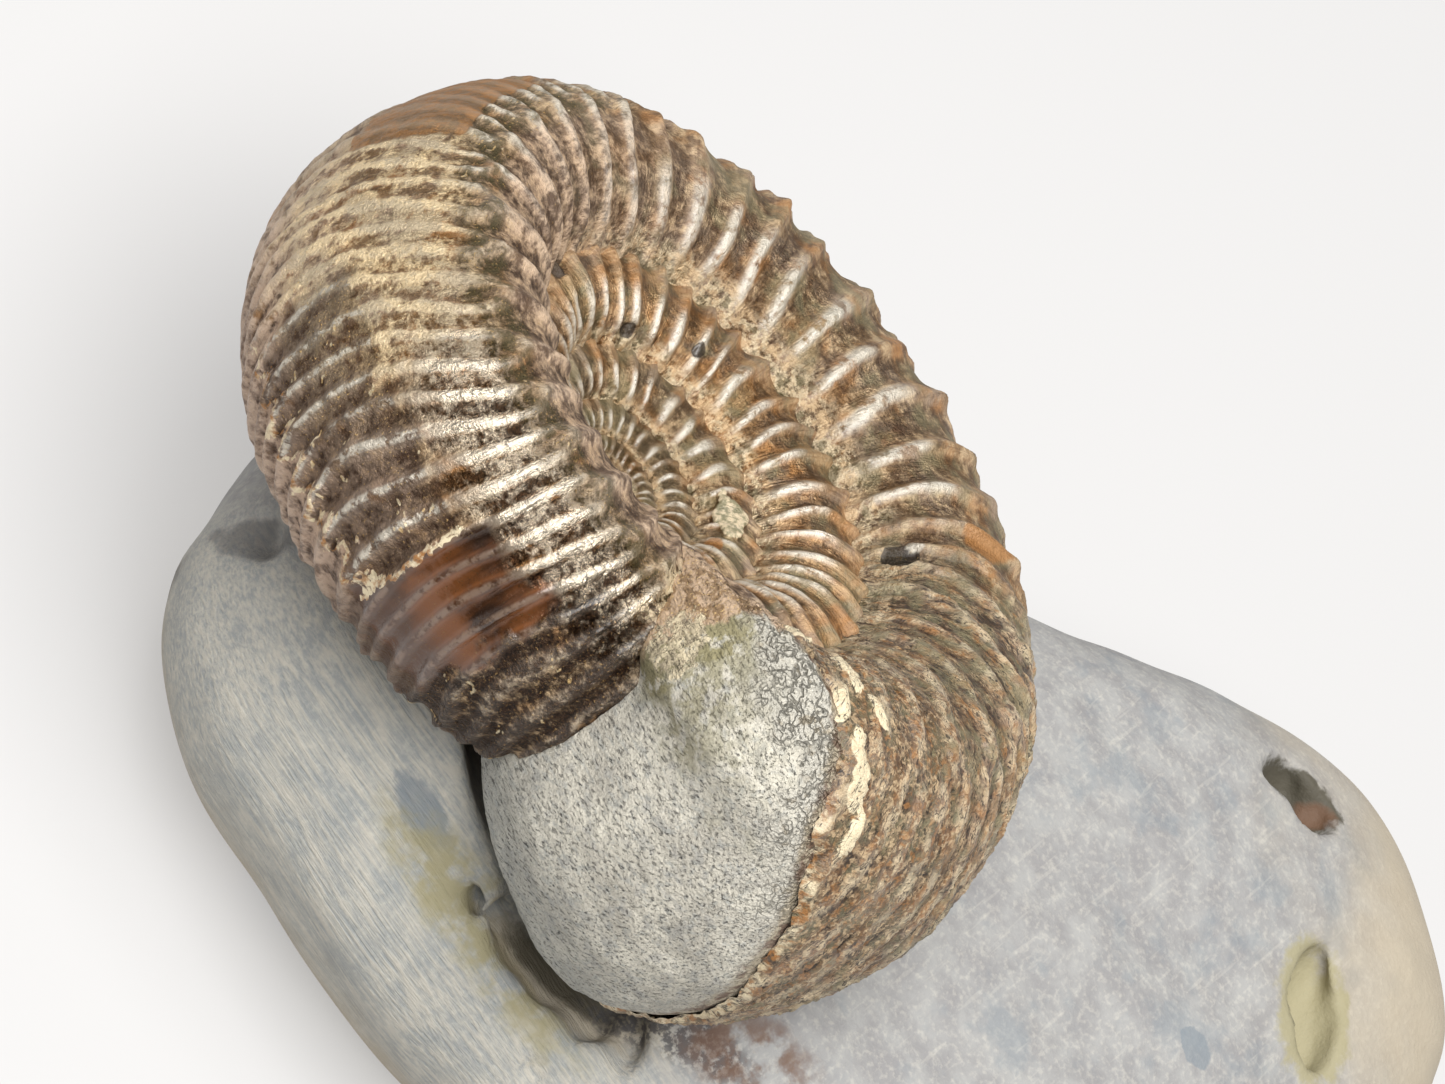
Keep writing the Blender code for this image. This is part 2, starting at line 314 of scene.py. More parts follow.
def skinFields(g, b, a, radius, spot):
    # where each kind of surface lies on the shell, as numbers from 0 to 1
    f = {}
    drift = g.noise(spot, 0.42, 3.0) - 0.5
    drift2 = g.noise(spot, 0.5, 3.0, seed=37.0) - 0.5
    wb = b + drift * 13
    wa = a + drift2 * 26
    last = g.rise(radius, venterRadius(-231.5), venterRadius(-230.5))
    f["last"] = last
    for area, (along, across) in skin["areas"].items():
        f[area] = g.band(wb, *along) * g.band(wa, *across)
    f["plum"] = g.band(wb, -212, -100, 8) * g.rise(wa, -30, -44)
    # a flaked-off patch: distances in mm in from its lower edge, its edge by the amber, and its soft sides
    jagged = g.noise(spot, 1.3, 3.0, 0.6, seed=5.0) - 0.5
    phase = g.math("COSINE", (b - 1.0) * (72 * degree))
    fromLow = (a + 30 + drift2 * 24 + jagged * 22 + phase * 5) * 0.12
    fromAmber = (b + 172.6 + drift * 6 + jagged * 5) * 0.36
    lowest = g.math("MINIMUM", fromLow, fromAmber)
    others = g.rise(wa, 26, 14) * g.rise(wb, -122, -140) * last
    f["peeled"] = g.rise(lowest, 0.0, 0.12) * others
    f["peelRim"] = g.band(lowest, -0.42, 0.0, 0.1) * others
    f["lip"] = g.rise(b - shellEdge(g, a), -2.0, -0.7) * g.rise(a, 60, 40) * last
    f["corner"] = g.rise(wb, -199, -204) * g.band(wa, 52, 96, 6) * last
    f["wall"] = g.rise(wa, 78, 90) * g.rise(b, -20, -90) * last
    f["worn"] = g.band(b + drift * 5, -104, -73, 1.5) * g.band(a + drift2 * 12, 12, 60, 3)
    f["chamber"] = g.rise(wb, 44, 70) * last
    f["mouth"] = g.rise(wb + drift2 * 16, 100, 118) * last
    f["inner"] = 1 - last
    f["far"] = g.rise(b, -100, -72) * last + f["inner"]
    f["seam"] = g.rise(wa, 129, 141) * f["far"]
    # loose chips of crust
    jolt = g.vector("MULTIPLY", g.noise(spot, 1.6, 3.0, 0.6).other("Color"), (1.5, 1.5, 1.5))
    jolted = g.vector("ADD", spot, jolt)
    chip = g.cells(jolted, 0.72)
    picked = g.node("ShaderNodeSeparateXYZ", values={0: chip.other("Color")})
    inCell = g.vector("SUBTRACT", jolted, chip.other("Position"))
    oneSide = g.rise(g.vector("DOT_PRODUCT", inCell, (0.5, -0.7, 0.5), out=1), 0.05, 0.2)
    crusted = f["peeled"] + f["scorched"] + f["goldCrust"] * 0.6 + f["ledge"] * 0.8 + f["chamber"] * 0.5
    crusted = g.math("MINIMUM", crusted, 1.0)
    f["chip"] = g.band(chip, 0.34, 0.41, 0.03) * (picked > 0.6) * oneSide * crusted
    scraps = 0
    jag = g.noise(spot, 1.7, 4.0, 0.62, seed=11.0) * 2.0
    for sb, sa, hb, ha, slant in skin["scraps"]:
        along = (a - sa) / ha
        across = (b - sb - (a - sa) * slant) / hb
        scraps = scraps + g.rise(along * along + across * across + jag, 2.05, 1.9)
    f["scrap"] = g.math("MINIMUM", scraps, 1.0)
    for sb, sa, hb, ha, finish in skin["marks"]:
        along, across = (a - sa) / ha, (b - sb) / hb
        mark = g.rise(along * along + across * across + drift2 * 3, 1.2, 0.8)
        f[finish] = f[finish] + mark if finish in f else mark
    return f


def ribs(g, b, a, spot, f):
    # rib height in shares of the venter radius, and where the crests are
    side = abs(a)
    lean = g.curve(side, 0, 150, -15, 15, skin["ribLean"])
    lean = lean - f["chamber"] * g.rise(side, 76, 146) * 13
    # fewer ribs a turn on the small whorls, and none quite in its place
    early = g.math("MAXIMUM", (b + 590) * -0.3, 0.0)
    wander = (g.noise(g.combine(b * 0.05, a * 0.012, 2.0), 1.0, 1.0) - 0.5) * 9
    phase = (b + early + wander - coil["mouthBearing"] - lean) * (coil["ribsPerTurn"] * degree)
    bent = phase + g.math("SINE", phase) * 0.4
    wall = (g.math("COSINE", bent) * 0.5 + 0.5) ** 1.35
    forked = (0.5 - g.math("COSINE", phase * 2) * 0.5) ** 1.7
    venter = g.rise(side, 80, 66)
    knob = g.band(side, 68, 80, 7) * wall
    fade = 1 - g.rise(side, 90, 175) * 0.6
    strength = (g.noise(g.combine(b * 0.12, a * 0.022, 0.0), 1.0, 2.0) * 1.7 + 0.15) * (1 - f["worn"] * 0.93)
    strength = strength * (1 - f["chamber"] * 0.25) * (1 - f["goldCrust"] * 0.74) * (1 + f["inner"] * 0.35)
    broken = g.rise(g.noise(spot, 0.75, 3.0, 0.6, seed=57.0), 0.54, 0.62)
    broken = broken * g.math("MINIMUM", f["goldCrust"] + f["peeled"] * 0.7 + f["scorched"] + f["foil"] * 0.4, 1.0)
    strength = strength * (1 - broken * 0.7)
    strength = strength * (1 - f["seam"] * 0.5) * (1 - f["corner"] * 0.7)
    strength = strength * (1 - f["mouth"] * 0.75) * (1 - f["matrix"])
    height = venter * skin["venterRib"] * forked + (1 - venter) * skin["flankRib"] * fade * wall
    crest = venter * forked + (1 - venter) * wall
    return (height + knob * skin["knob"]) * strength, crest


# what the grown shell carries for its finish, three to an attribute
zones = [
    "crest", "last", "amber", "plum", "peeled", "peelRim", "scorched", "lip", "corner", "foil", "goldCrust", "ledge",
    "wall", "worn", "chamber", "mouth", "far", "seam", "chip", "scrap", "matrix", "orange", "dark", "silver",
    "broad", "rusty", "dirty", "mossy", "ashen", "glow",
]


# The shell, grown by Geometry Nodes along the coil


def growTree(name, numbers):
    inputs = dict.fromkeys([*numbers, "Around From", "Around To"], "Float")
    inputs.update({"Columns": "Int", "Rows": "Int", "Finish": "Material"})
    tree = bpy.data.node_groups.new(name, "GeometryNodeTree")
    graph = Graph(tree)
    sockets = {}
    for title, kind in inputs.items():
        sockets[title] = tree.interface.new_socket(name=title, in_out="INPUT", socket_type="NodeSocket" + kind)
    tree.interface.new_socket(name="Geometry", in_out="OUTPUT", socket_type="NodeSocketGeometry")
    entry = tree.nodes.new("NodeGroupInput")
    given = {title: Wire(graph, entry.outputs[title]) for title in inputs}
    return tree, graph, sockets, given


def finishTree(graph, mesh, place, marks, given):
    # moves the grid on to the coil, keeps the marks that the materials read, and ends the tree
    for name, value in marks.items():
        settings = {"data_type": "FLOAT_VECTOR", "domain": "POINT"}
        mesh = graph.node("GeometryNodeStoreNamedAttribute", settings, {"Geometry": mesh, "Name": name, "Value": value})
    mesh = graph.node("GeometryNodeSetPosition", values={"Geometry": mesh, "Position": place})
    mesh = graph.node("GeometryNodeFlipFaces", values={0: mesh})
    mesh = graph.node("GeometryNodeSetShadeSmooth", values={"Geometry": mesh})
    mesh = graph.node("GeometryNodeRealizeInstances", values={"Geometry": mesh})
    mesh = graph.node("GeometryNodeSetMaterial", values={"Geometry": mesh, "Material": given["Finish"]})
    end = graph.tree.nodes.new("NodeGroupOutput")
    graph.tree.links.new(mesh.socket, end.inputs[0])


def gridOf(graph, given):
    values = {"Size X": 1.0, "Size Y": 1.0, "Vertices X": given["Columns"], "Vertices Y": given["Rows"]}
    mesh = graph.node("GeometryNodeMeshGrid", values=values)
    x, y, _ = graph.split(graph.node("GeometryNodeInputPosition"))
    return mesh, x + 0.5, y + 0.5


def shellTree():
    tree, g, sockets, given = growTree("grow ribbed shell", ["Radius From", "Radius To", "Broken"])
    mesh, u, v = gridOf(g, given)
    a = given["Around From"] + (given["Around To"] - given["Around From"]) * v
    chips = (g.noise(g.combine(a * 0.045, 0.0, 3.0), 1.0, 4.0, 0.62) - 0.5) * 7
    brokenRadius = coil["growth"] ** ((shellEdge(g, a) + chips - coil["mouthBearing"]) / 360) * coil["mouthRadius"]
    last = given["Radius To"] + (brokenRadius - given["Radius To"]) * given["Broken"]
    radius = given["Radius From"] + (last - given["Radius From"]) * u
    b = bearingOf(g, radius)
    out, side, c, s = sectionOf(g, a)
    spot = onAxis(g, b, out * radius, side * radius)
    f = skinFields(g, b, a, radius, spot)
    height, f["crest"] = ribs(g, b, a, spot, f)
    f["broad"] = g.noise(spot, 0.35, 3.0, seed=21.0)
    f["rusty"] = g.rise(g.noise(spot, 0.5, 4.0, 0.6, seed=44.0), 0.5, 0.68)
    f["dirty"] = g.rise(g.noise(spot, 1.3, 4.0, 0.65, seed=83.0), 0.53, 0.63) * f["last"]
    f["mossy"] = f["far"] * g.rise(g.noise(spot, 0.4, 4.0, 0.6, seed=71.0), 0.48, 0.62)
    f["ashen"] = f["chamber"] * g.rise(g.noise(spot, 0.7, 4.0, 0.6, seed=52.0), 0.48, 0.62)
    f["glow"] = g.noise(spot, 0.8, 2.0, seed=61.0)
    rough = weighed(f, 0.35, goldCrust=0.9, scorched=0.8, chamber=0.9, peeled=1.0, wall=0.2, ledge=0.9)
    rough = rough + f["seam"] + f["corner"]
    lift = height * radius
    lift = lift + (g.noise(spot, 0.22, 2.0, seed=3.0) - 0.5) * skin["lumps"]
    lift = lift + (g.noise(spot, 1.2, 3.0, 0.6, seed=8.0) - 0.5) * skin["pocks"] * rough
    lift = lift + (g.noise(spot, 4.0, 2.0, seed=15.0) - 0.5) * skin["grain"] * (rough + 0.3)
    shreds = g.noise(g.combine(b * 0.9 + a * 0.05, a * 0.09, radius * 0.3), 1.0, 3.0, 0.6, seed=4.0)
    lift = lift + (shreds - 0.5) * (f["chamber"] * 0.5 + f["mouth"] * 0.5)
    lift = lift - f["peeled"] * skin["peelDepth"] + f["peelRim"] * 0.05
    lift = lift + f["lip"] * 0.16 + f["matrix"] * 0.3 - f["dark"] * 0.25
    lift = lift + f["scrap"] * 0.2 + f["worn"] * 0.22 + f["chip"] * skin["chip"]
    nearStep = fillEnd(g, a) + (g.noise(g.combine(a * 0.06, 0.0, 9.0), 1.0, 3.0) - 0.5) * 3
    under = g.rise(b, nearStep + 0.45, nearStep - 0.25) * f["last"] * g.rise(a, 100, 84)
    lift = lift - under * 0.6
    folded = g.rise(u, 0.9905, 0.9995) * given["Broken"]
    lift = lift - folded * skin["edgeThickness"]
    place = onAxis(g, b, out * radius + lift * c, side * radius + lift * s)
    marks = {"coilSpot": g.combine(b, a, radius), "skinSpot": spot}
    for start in range(0, len(zones), 3):
        marks[f"zone{start}"] = g.combine(*(f[zone] for zone in zones[start:start + 3]))
    finishTree(g, mesh, leanOver(g, place), marks, given)
    return tree, sockets


def grow(name, tree, sockets, **values):
    # runs the tree on an empty mesh and keeps the result as a plain mesh
    holder = bpy.data.objects.new(name + "Holder", bpy.data.meshes.new(name + "Holder"))
    bpy.context.scene.collection.objects.link(holder)
    modifier = holder.modifiers.new(name, "NODES")
    modifier.node_group = tree
    for title, value in values.items():
        modifier[sockets[title].identifier] = value
    bpy.context.view_layer.update()
    graph = bpy.context.evaluated_depsgraph_get()
    mesh = bpy.data.meshes.new_from_object(holder.evaluated_get(graph))
    holder.modifiers.remove(modifier)
    bpy.data.objects.remove(holder)
    piece = bpy.data.objects.new(name, mesh)
    mesh.name = name
    bpy.context.scene.collection.objects.link(piece)
    print(f"{name}: {len(mesh.vertices)} points, {len(mesh.polygons)} faces")
    return piece


def spots(g):
    # what the grown meshes carry for their finishes
    place = g.node("ShaderNodeAttribute", {"attribute_name": "coilSpot"}, out=1)
    skinSpot = g.node("ShaderNodeAttribute", {"attribute_name": "skinSpot"}, out=1)
    b, a, radius = g.split(place)
    return b, a, radius, skinSpot


def storedZones(g):
    f = {}
    for start in range(0, len(zones), 3):
        packed = g.node("ShaderNodeAttribute", {"attribute_name": f"zone{start}"}, out=1)
        f.update(zip(zones[start:start + 3], g.split(packed)))
    f["inner"] = 1 - f["last"]
    return f


shellPaint = {
    "dark": paint(28, 19, 12),
    "deepBrown": paint(70, 48, 32),
    "brown": paint(138, 109, 76),
    "tan": paint(196, 170, 134),
    "mauve": paint(148, 127, 106),
    "amber": paint(118, 70, 34),
    "amberDark": paint(44, 27, 16),
    "plum": paint(84, 62, 50),
    "lilac": paint(206, 180, 158),
    "charred": paint(62, 42, 28),
    "gold": paint(208, 174, 118),
    "creamCrust": paint(242, 218, 174),
    "ash": paint(206, 188, 156),
    "foil": paint(200, 188, 168),
    "olive": paint(88, 80, 54),
    "wall": paint(196, 168, 140),
    "orange": paint(158, 110, 60),
    "lichen": paint(130, 124, 94),
    "cream": paint(222, 206, 172),
    # silver is the colour of the painted highlights and glints
    "silver": paint(208, 200, 184),
}


def shellMaterial():
    material, g, shader = newMaterial("pyritised shell")
    b, a, radius, spot = spots(g)
    f = storedZones(g)
    crest = f["crest"]
    p = shellPaint
    broad = f["broad"]
    patches = g.noise(spot, 0.95, 4.0, 0.62, seed=23.0)
    fine = g.noise(spot, 2.6, 4.0, 0.62, seed=27.0)
    grit = g.noise(spot, 7.0, 3.0, 0.65, seed=31.0)
    strands = g.noise(g.combine(b * 1.3, a * 0.05, radius), 1.0, 4.0, 0.6)
    crackle = g.cells(spot, 2.3, "DISTANCE_TO_EDGE")
    for zone in ("scrap", "peeled", "chip", "dark", "matrix", "worn", "peelRim"):  # crisp, ragged edges again
        f[zone] = g.rise(f[zone] + (fine - 0.5) * 0.5, 0.35, 0.65)
    top = g.rise(crest, 0.3, 0.95)
    gully = g.rise(crest, 0.5, 0.05)
    mottle = patches * 0.6 + fine * 0.4
    # base shell: brown with mauve and rust clouds, painted silver highlights on the crests and painted shade between
    # them
    layers = Layers(g, g.tint(g.rise(broad, 0.36, 0.64), p["brown"], p["mauve"]))
    layers.add(g.rise(mottle, 0.46, 0.62) * 0.8, p["tan"])
    layers.add(g.rise(strands, 0.48, 0.7) * 0.55, p["deepBrown"])
    layers.add(f["rusty"] * 0.75 * (1 - f["wall"] * 0.7), p["orange"])
    # painted highlight: pale silver on the rib crests
    layers.add(top * g.rise(mottle, 0.38, 0.6) * 0.35 * (1 - f["far"]), p["silver"])
    # painted shade: near-black brown in the gullies between the ribs
    shade = g.tint(g.rise(grit, 0.4, 0.65), p["dark"], p["deepBrown"])
    gullyShare = weighed(f, 0.9, far=-0.3, goldCrust=-0.8)
    layers.add(gully * g.rise(mottle, 0.66, 0.40) * gullyShare, shade)
    layers.add(f["dirty"] * 0.7 * (1 - f["amber"]) * (1 - f["goldCrust"] * 0.5), p["deepBrown"])
    # far flank: painted silver highlights on the rib crests beside the seam, brown further out
    layers.add(f["mossy"] * 0.5, p["lichen"])
    farFlank = g.band(b, -78, 46, 8) * g.band(a + (broad - 0.5) * 30, 104, 136, 7)
    layers.add(farFlank * top * g.rise(patches, 0.36, 0.52) * 0.85, p["silver"])
    # inner whorls: warm outside, grey-olive towards the middle
    layers.add(f["inner"] * g.rise(radius, 10.5, 15.5) * g.rise(patches, 0.4, 0.6) * 0.35, p["orange"])
    layers.add(g.rise(radius, 12.0, 7.0) * g.rise(broad, 0.36, 0.6) * 0.45, p["olive"])
    seamTone = g.tint(g.rise(patches, 0.46, 0.56), p["ash"], p["tan"])
    layers.add(f["seam"] * g.rise(fine, 0.36, 0.56) * 0.85, seamTone)
    layers.add(f["seam"] * g.rise(patches, 0.44, 0.36) * 0.7, p["olive"])
    # painted highlight: silver blobs on the inner whorls' rib crests
    innerHighlightCrests = f["inner"] * top * g.band(a, 104, 134, 8)
    layers.add(innerHighlightCrests * g.rise(patches, 0.34, 0.5) * 0.85, p["silver"])
    # last part of the outer whorl: rough rust brown with lichen-grey clouds
    shreds = g.noise(g.combine(b * 0.9 + a * 0.05, a * 0.09, radius * 0.3), 1.0, 3.0, 0.6, seed=4.0)
    shade = g.tint(g.rise(grit, 0.4, 0.6), p["dark"], p["deepBrown"])
    layers.add(f["chamber"] * g.rise(shreds, 0.48, 0.38) * 0.9, shade)
    rustTone = g.tint(g.rise(fine, 0.45, 0.6), p["orange"], p["tan"])
    layers.add(f["chamber"] * g.rise(shreds, 0.52, 0.66) * 0.7, rustTone)
    layers.add(f["ashen"] * 0.6, p["lichen"])
    flaky = g.tint(g.rise(patches, 0.38, 0.52), p["orange"], p["tan"])
    flaky = g.tint(g.rise(fine, 0.42, 0.6), p["deepBrown"], flaky)
    layers.add(f["mouth"] * g.rise(fine + (shreds - 0.5) * 0.4, 0.4, 0.56) * 0.75, flaky)
    # painted highlight: ash-grey sheen on the rib crests of the last part
    layers.add(f["chamber"] * top * g.rise(patches, 0.46, 0.58) * 0.55, p["ash"])
    # near whorl
    layers.add(f["plum"] * 0.7, p["plum"])
    # painted shade: deep brown in the gullies of the plum venter
    layers.add(f["plum"] * gully * 0.6, p["deepBrown"])
    # painted highlight: silver on the rib crests of the near whorl's shoulder
    shoulderHighlight = g.band(b, -118, -58, 6) * g.band(a, 56, 104, 8) * g.rise(crest, 0.5, 0.9)
    layers.add(shoulderHighlight * g.rise(mottle, 0.36, 0.5) * 0.8, p["silver"])
    pale = g.band(b, -172, -96, 10) * g.rise(a, 24, 0) * f["last"]
    layers.add(pale * g.rise(mottle, 0.38, 0.56) * 0.7, p["lilac"])
    crust = g.tint(g.rise(broad + (fine - 0.5) * 0.4, 0.44, 0.56), p["creamCrust"], p["ash"])
    crusty = g.rise(mottle + top * 0.12 + (broad - 0.5) * 0.3, 0.42, 0.60)
    layers.add(f["goldCrust"] * crusty * 0.85, crust)
    layers.add(f["foil"] * g.rise(mottle + top * 0.2, 0.42, 0.6) * 0.8, p["foil"])
    glow = g.rise(broad + (f["glow"] - 0.5) * 0.4 + (strands - 0.5) * 0.3, 0.26, 0.66)
    glow = glow * g.rise(crest, 1.2, 0.4) * 0.85
    layers.add(f["amber"], g.tint(glow, p["amberDark"], p["amber"]))
    layers.add(f["amber"] * g.rise(a, -8, -30) * 0.9, p["plum"])
    # painted highlight: thin lilac lines on the amber ribs' crests
    layers.add(f["amber"] * g.rise(crest, 0.6, 1.0) * g.rise(mottle, 0.44, 0.56) * 0.2, p["lilac"])
    burnt = g.tint(g.rise(grit, 0.4, 0.6), p["dark"], p["charred"])
    layers.add(f["scorched"] * g.rise(mottle, 0.66, 0.46) * 0.9, burnt)
    layers.add(f["peeled"] * 0.66, g.tint(g.rise(mottle, 0.52, 0.66) * 0.6, p["charred"], p["brown"]))
    # painted highlight: silver streaks on the rib crests across the flaked patch
    layers.add(f["peeled"] * g.rise(crest, 0.72, 1.0) * g.rise(mottle, 0.44, 0.54) * 0.8, p["silver"])
    rim = g.rise(f["peelRim"], 0.25, 0.7)
    edgeTone = g.tint(g.rise(patches, 0.4, 0.55), p["orange"], p["cream"])
    layers.add(rim * g.rise(fine, 0.34, 0.5) * 0.9, edgeTone)
    layers.add(f["ledge"] * g.rise(mottle, 0.58, 0.42) * 0.75, p["olive"])
    cornerTone = g.tint(g.rise(patches, 0.42, 0.56), p["ash"], p["cream"])
    layers.add(f["corner"] * g.rise(fine, 0.4, 0.52), cornerTone)
    wallTone = g.tint(g.rise(mottle, 0.4, 0.6), p["deepBrown"], p["wall"])
    # thinned in the gullies so that the painted shade beneath shows through
    layers.add(f["wall"] * 0.8 * (1 - gully * 0.4), wallTone)
    layers.add(f["worn"] * 0.85, g.tint(g.rise(mottle, 0.42, 0.58), p["brown"], p["orange"]))
    layers.add(f["scrap"], g.tint(g.rise(fine, 0.5, 0.66) * 0.6, p["cream"], p["tan"]))
    layers.add(f["chip"] * 0.75, g.tint(g.rise(fine, 0.4, 0.6), p["gold"], p["cream"]))
    layers.add(f["lip"] * g.rise(fine, 0.38, 0.5) * 0.9, edgeTone)
    # orange marks are rust, dark marks are painted shade in the pits, the silver mark is a painted glint
    for finish in ("orange", "dark", "silver"):
        layers.add(f[finish] * 0.85, p[finish])
    layers.add(f["matrix"], g.tint(g.rise(fine, 0.4, 0.6), p["lichen"], p["ash"]))
    # cracks across the last part of the whorl
    slit = g.rise(abs(shreds - 0.52), 0.022, 0.004) * f["chamber"] * g.rise(patches, 0.42, 0.52)
    layers.add(slit * 0.85, p["dark"])
    # gold grit in the crusted places
    flecked = weighed(f, 0.15, goldCrust=0.4, peeled=0.35, ledge=0.6, scorched=0.4, wall=0.15)
    layers.add(g.rise(grit, 0.60, 0.70) * flecked, p["gold"])
    crackled = f["foil"] * g.rise(b, -178, -192) + f["goldCrust"] * 0.25 + f["scorched"] * 0.4
    crack = g.rise(crackle, 0.06, 0.0) * crackled
    layers.add(crack * 0.8, p["dark"])
    farShoulder = f["far"] * g.rise(a, 104, 90)
    rough = 0.36 + fine * 0.24 - top * 0.06 - farFlank * 0.1 + farShoulder * 0.22
    rough = weighed(f, rough, wall=0.16, chamber=-0.02, amber=-0.28, foil=-0.24, peeled=0.05, scrap=0.2, inner=-0.12)
    metal = weighed(f, 0.3, foil=0.55, goldCrust=0.2, wall=-0.15, chamber=-0.2, amber=-0.3, inner=0.15)
    metal = metal - farShoulder * 0.15 + g.rise(grit, 0.58, 0.66) * 0.3
    metal = (metal + gully * 0.45) * (1 - f["scrap"]) * (1 - f["matrix"])
    coat = f["amber"] * g.rise(a, -30, -8) * 0.35 + innerHighlightCrests * 0.8 + f["chamber"] * 0.25
    coat = coat + top * (f["foil"] * 0.6 + farFlank * 0.6 + f["peeled"] * 0.3)
    smooth = 1 - f["amber"] * 0.85 - f["worn"] * 0.4 - f["foil"] * top * 0.5 - f["inner"] * 0.3
    crusted = weighed(f, 0.0, goldCrust=1, scorched=1, ledge=1, foil=0.3, wall=0.3, chamber=0.8)
    relief = (fine * 0.20 + grit * (0.11 + crusted * 0.11)) * smooth
    relief = relief + strands * 0.12 * (1 - f["amber"] * 0.6)
    plug(g, shader, Base_Color=layers.colour, Roughness=rough, Metallic=metal, Coat_Weight=coat)
    plug(g, shader, Normal=bumped(g, relief))
    shader.inputs["Coat Roughness"].default_value = 0.12
    shader.inputs["IOR"].default_value = 1.55
    return material


# The stone that fills the broken chamber


def fillTree():
    tree, g, sockets, given = growTree("grow chamber fill", ["Bearing From", "Bearing To"])
    mesh, u, v = gridOf(g, given)
    b = given["Bearing From"] + (given["Bearing To"] - given["Bearing From"]) * u
    a = given["Around From"] + (given["Around To"] - given["Around From"]) * v
    radius = coil["growth"] ** ((b - coil["mouthBearing"]) / 360) * coil["mouthRadius"]
    out, side, c, s = sectionOf(g, a)
    spot = onAxis(g, b, out * radius, side * radius)
    start = shellEdge(g, a)
    end = fillEnd(g, a) + 361
    share = g.math("MINIMUM", g.math("MAXIMUM", (b - start) / (end - start), 0.0), 1.15)
    size = 0.986 - share ** 1.9 * 0.385 - g.rise(a, -25, -70) * g.rise(share, 0.1, 0.5) * 0.05
    crumpled = g.rise(a, 46, 66) * g.rise(share, 0.0, 0.12)
    lift = (g.noise(spot, 0.5, 3.0) - 0.5) * (0.55 + crumpled * 1.1)
    lift = lift + (g.noise(spot, 2.2, 3.0, 0.6) - 0.5) * (0.18 + crumpled * 0.4)
    lift = lift * g.rise(share, -0.02, 0.1)
    place = onAxis(g, b, out * radius * size + lift * c, side * radius * size + lift * s)
    wa = a + (g.noise(place, 0.6, 3.0, seed=12.0) - 0.5) * 46
    ws = share + (g.noise(place, 0.7, 3.0, seed=14.0) - 0.5) * 0.5
    x, y, _ = g.split(place)
    fromAxis = g.math("SQRT", x * x + y * y) + (g.noise(place, 0.8, 4.0, 0.6, seed=33.0) - 0.5) * 4
    # crumpled skin of shell left on the stone by the broken edge
    mossy = g.band(wa, 34, 92, 9) * g.rise(ws, 0.05, 0.9) * 0.75
    mossy = mossy + g.rise(fromAxis, 21.6, 20.0) * g.rise(a, 20, 50) * 0.9
    silver = g.rise(wa, 58, 74) * g.rise(ws, 0.66, 0.42) + g.rise(wa, 8, 24) * g.rise(ws, 0.30, 0.08)
    marks = {"coilSpot": g.combine(b, a, share), "skinSpot": place, "zone0": g.combine(mossy, silver, fromAxis)}
    finishTree(g, mesh, leanOver(g, place), marks, given)
    return tree, sockets


stonePaint = {
    "pale": paint(214, 208, 192),
    "grey": paint(150, 149, 146),
    "blue": paint(146, 150, 148),
    "speck": paint(62, 60, 58),
    "beige": paint(174, 160, 135),
    "olive": paint(146, 138, 104),
    "darkOlive": paint(58, 52, 34),
    "bluePatch": paint(112, 120, 126),
    "rust": paint(98, 68, 46),
    "shadeGrey": paint(62, 60, 62),
    "silver": paint(202, 197, 184),
    "lavender": paint(131, 129, 128),
    "warmGrey": paint(188, 182, 168),
}


